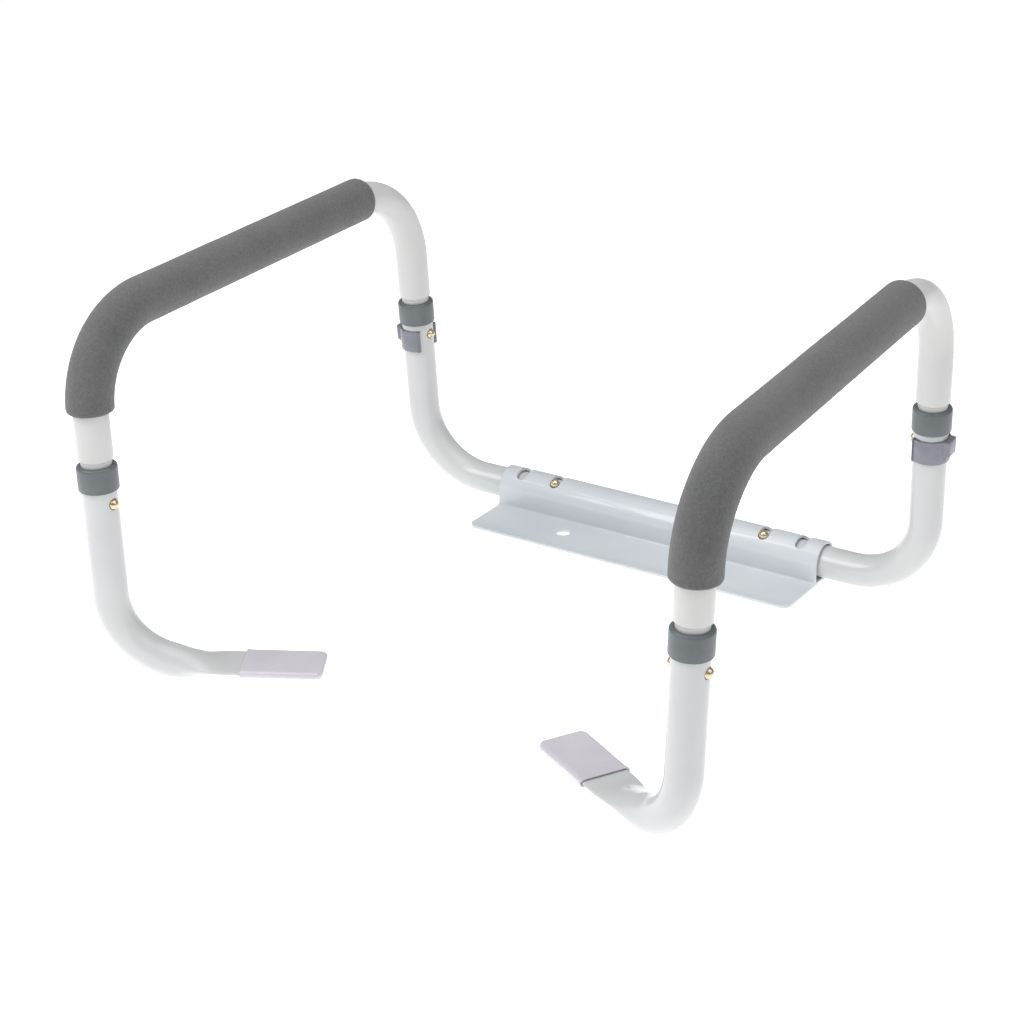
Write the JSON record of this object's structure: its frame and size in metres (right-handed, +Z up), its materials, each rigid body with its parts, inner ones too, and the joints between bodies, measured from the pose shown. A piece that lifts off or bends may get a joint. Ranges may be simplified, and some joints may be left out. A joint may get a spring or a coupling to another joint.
{
  "type": "toilet safety frame",
  "caption": "Toilet-mounted safety frame: bent-tube arms with foam grips that tilt and slide in a rear bracket held by the toilet seat's bolts.",
  "frame": {"origin": "underside of the mounting bracket, midway along it, straight below the axis of the tubes that it holds", "axes": "+Z up, +X along the bracket, to the right as seen from the front of the bowl, and -Y towards the front of the bowl"},
  "size_m": [0.5098, 0.4291, 0.2997],
  "materials": {
    "white_enamel": "glossy warm white enamel on steel tube",
    "white_powder_coat": "semi-gloss cool white powder coat on steel",
    "grey_foam": "matte closed-cell grey foam",
    "grey_plastic": "satin moulded slate grey plastic",
    "clip_plastic": "slightly translucent purplish grey plastic",
    "cover_vinyl": "glossy lilac white vinyl",
    "brass": "bright brass",
    "spring_steel": "plain spring steel strip",
    "plug_plastic": "dark moulded plastic"
  },
  "bodies": {
    "bracket": {"mounting_bracket": "white_powder_coat"},
    "left_plug": {"left_tube_plug": "plug_plastic"},
    "left_frame": {"left_rear_tube": "white_powder_coat", "left_arm_tube": "white_enamel", "left_front_tube": "white_powder_coat", "left_tip_cover": "cover_vinyl", "left_foam_grip": "grey_foam", "left_rear_collar": "grey_plastic", "left_front_collar": "grey_plastic", "left_rear_clip": "clip_plastic", "left_rear_leg_spring": "spring_steel", "left_front_leg_spring": "spring_steel", "left_width_spring": "spring_steel"},
    "left_width_button": {"left_width_button": "brass"},
    "left_rear_outer_button": {"left_rear_outer_button": "brass"},
    "left_rear_inner_button": {"left_rear_inner_button": "brass"},
    "left_front_outer_button": {"left_front_outer_button": "brass"},
    "left_front_inner_button": {"left_front_inner_button": "brass"},
    "right_plug": {"right_tube_plug": "plug_plastic"},
    "right_frame": {"right_rear_tube": "white_powder_coat", "right_arm_tube": "white_enamel", "right_front_tube": "white_powder_coat", "right_tip_cover": "cover_vinyl", "right_foam_grip": "grey_foam", "right_rear_collar": "grey_plastic", "right_front_collar": "grey_plastic", "right_rear_clip": "clip_plastic", "right_rear_leg_spring": "spring_steel", "right_front_leg_spring": "spring_steel", "right_width_spring": "spring_steel"},
    "right_width_button": {"right_width_button": "brass"},
    "right_rear_outer_button": {"right_rear_outer_button": "brass"},
    "right_rear_inner_button": {"right_rear_inner_button": "brass"},
    "right_front_outer_button": {"right_front_outer_button": "brass"},
    "right_front_inner_button": {"right_front_inner_button": "brass"}
  },
  "joints": [
    {"name": "left_width_slide", "type": "slide", "parent": "bracket", "child": "left_plug", "axis": [-1, 0, 0], "range_m": [0, 0.032], "deforming": ["left_width_button"]},
    {"name": "left_tilt", "type": "hinge", "parent": "left_plug", "child": "left_frame", "pos_m": [-0.045, 0, 0.0157], "axis": [-1, 0, 0], "range_deg": [0, 60]},
    {"name": "left_width_button_press", "type": "slide", "parent": "left_frame", "child": "left_width_button", "axis": [0, 0.5, -0.866], "range_m": [0, 0.0057], "stiffness_N_per_m": 800, "springref_m": -0.002, "deforming": ["left_width_spring"]},
    {"name": "left_rear_outer_button_press", "type": "slide", "parent": "left_frame", "child": "left_rear_outer_button", "axis": [0.9999, -0.0014, 0.0155], "range_m": [0, 0.0047], "stiffness_N_per_m": 800, "springref_m": -0.002, "deforming": ["left_rear_leg_spring"]},
    {"name": "left_rear_inner_button_press", "type": "slide", "parent": "left_frame", "child": "left_rear_inner_button", "axis": [-0.9999, 0.0014, -0.0155], "range_m": [0, 0.0047], "stiffness_N_per_m": 800, "springref_m": -0.002},
    {"name": "left_front_outer_button_press", "type": "slide", "parent": "left_frame", "child": "left_front_outer_button", "axis": [0.9996, -0.0004, 0.0295], "range_m": [0, 0.0047], "stiffness_N_per_m": 800, "springref_m": -0.002, "deforming": ["left_front_leg_spring"]},
    {"name": "left_front_inner_button_press", "type": "slide", "parent": "left_frame", "child": "left_front_inner_button", "axis": [-0.9996, 0.0004, -0.0295], "range_m": [0, 0.0047], "stiffness_N_per_m": 800, "springref_m": -0.002},
    {"name": "right_width_slide", "type": "slide", "parent": "bracket", "child": "right_plug", "axis": [1, 0, 0], "range_m": [0, 0.032], "deforming": ["right_width_button"]},
    {"name": "right_tilt", "type": "hinge", "parent": "right_plug", "child": "right_frame", "pos_m": [0.045, 0, 0.0157], "axis": [-1, 0, 0], "range_deg": [0, 60]},
    {"name": "right_width_button_press", "type": "slide", "parent": "right_frame", "child": "right_width_button", "axis": [0, 0.5, -0.866], "range_m": [0, 0.0057], "stiffness_N_per_m": 800, "springref_m": -0.002, "deforming": ["right_width_spring"]},
    {"name": "right_rear_outer_button_press", "type": "slide", "parent": "right_frame", "child": "right_rear_outer_button", "axis": [-0.9999, -0.0014, 0.0155], "range_m": [0, 0.0047], "stiffness_N_per_m": 800, "springref_m": -0.002, "deforming": ["right_rear_leg_spring"]},
    {"name": "right_rear_inner_button_press", "type": "slide", "parent": "right_frame", "child": "right_rear_inner_button", "axis": [0.9999, 0.0014, -0.0155], "range_m": [0, 0.0047], "stiffness_N_per_m": 800, "springref_m": -0.002},
    {"name": "right_front_outer_button_press", "type": "slide", "parent": "right_frame", "child": "right_front_outer_button", "axis": [-0.9996, -0.0004, 0.0295], "range_m": [0, 0.0047], "stiffness_N_per_m": 800, "springref_m": -0.002, "deforming": ["right_front_leg_spring"]},
    {"name": "right_front_inner_button_press", "type": "slide", "parent": "right_frame", "child": "right_front_inner_button", "axis": [0.9996, 0.0004, -0.0295], "range_m": [0, 0.0047], "stiffness_N_per_m": 800, "springref_m": -0.002}
  ]
}
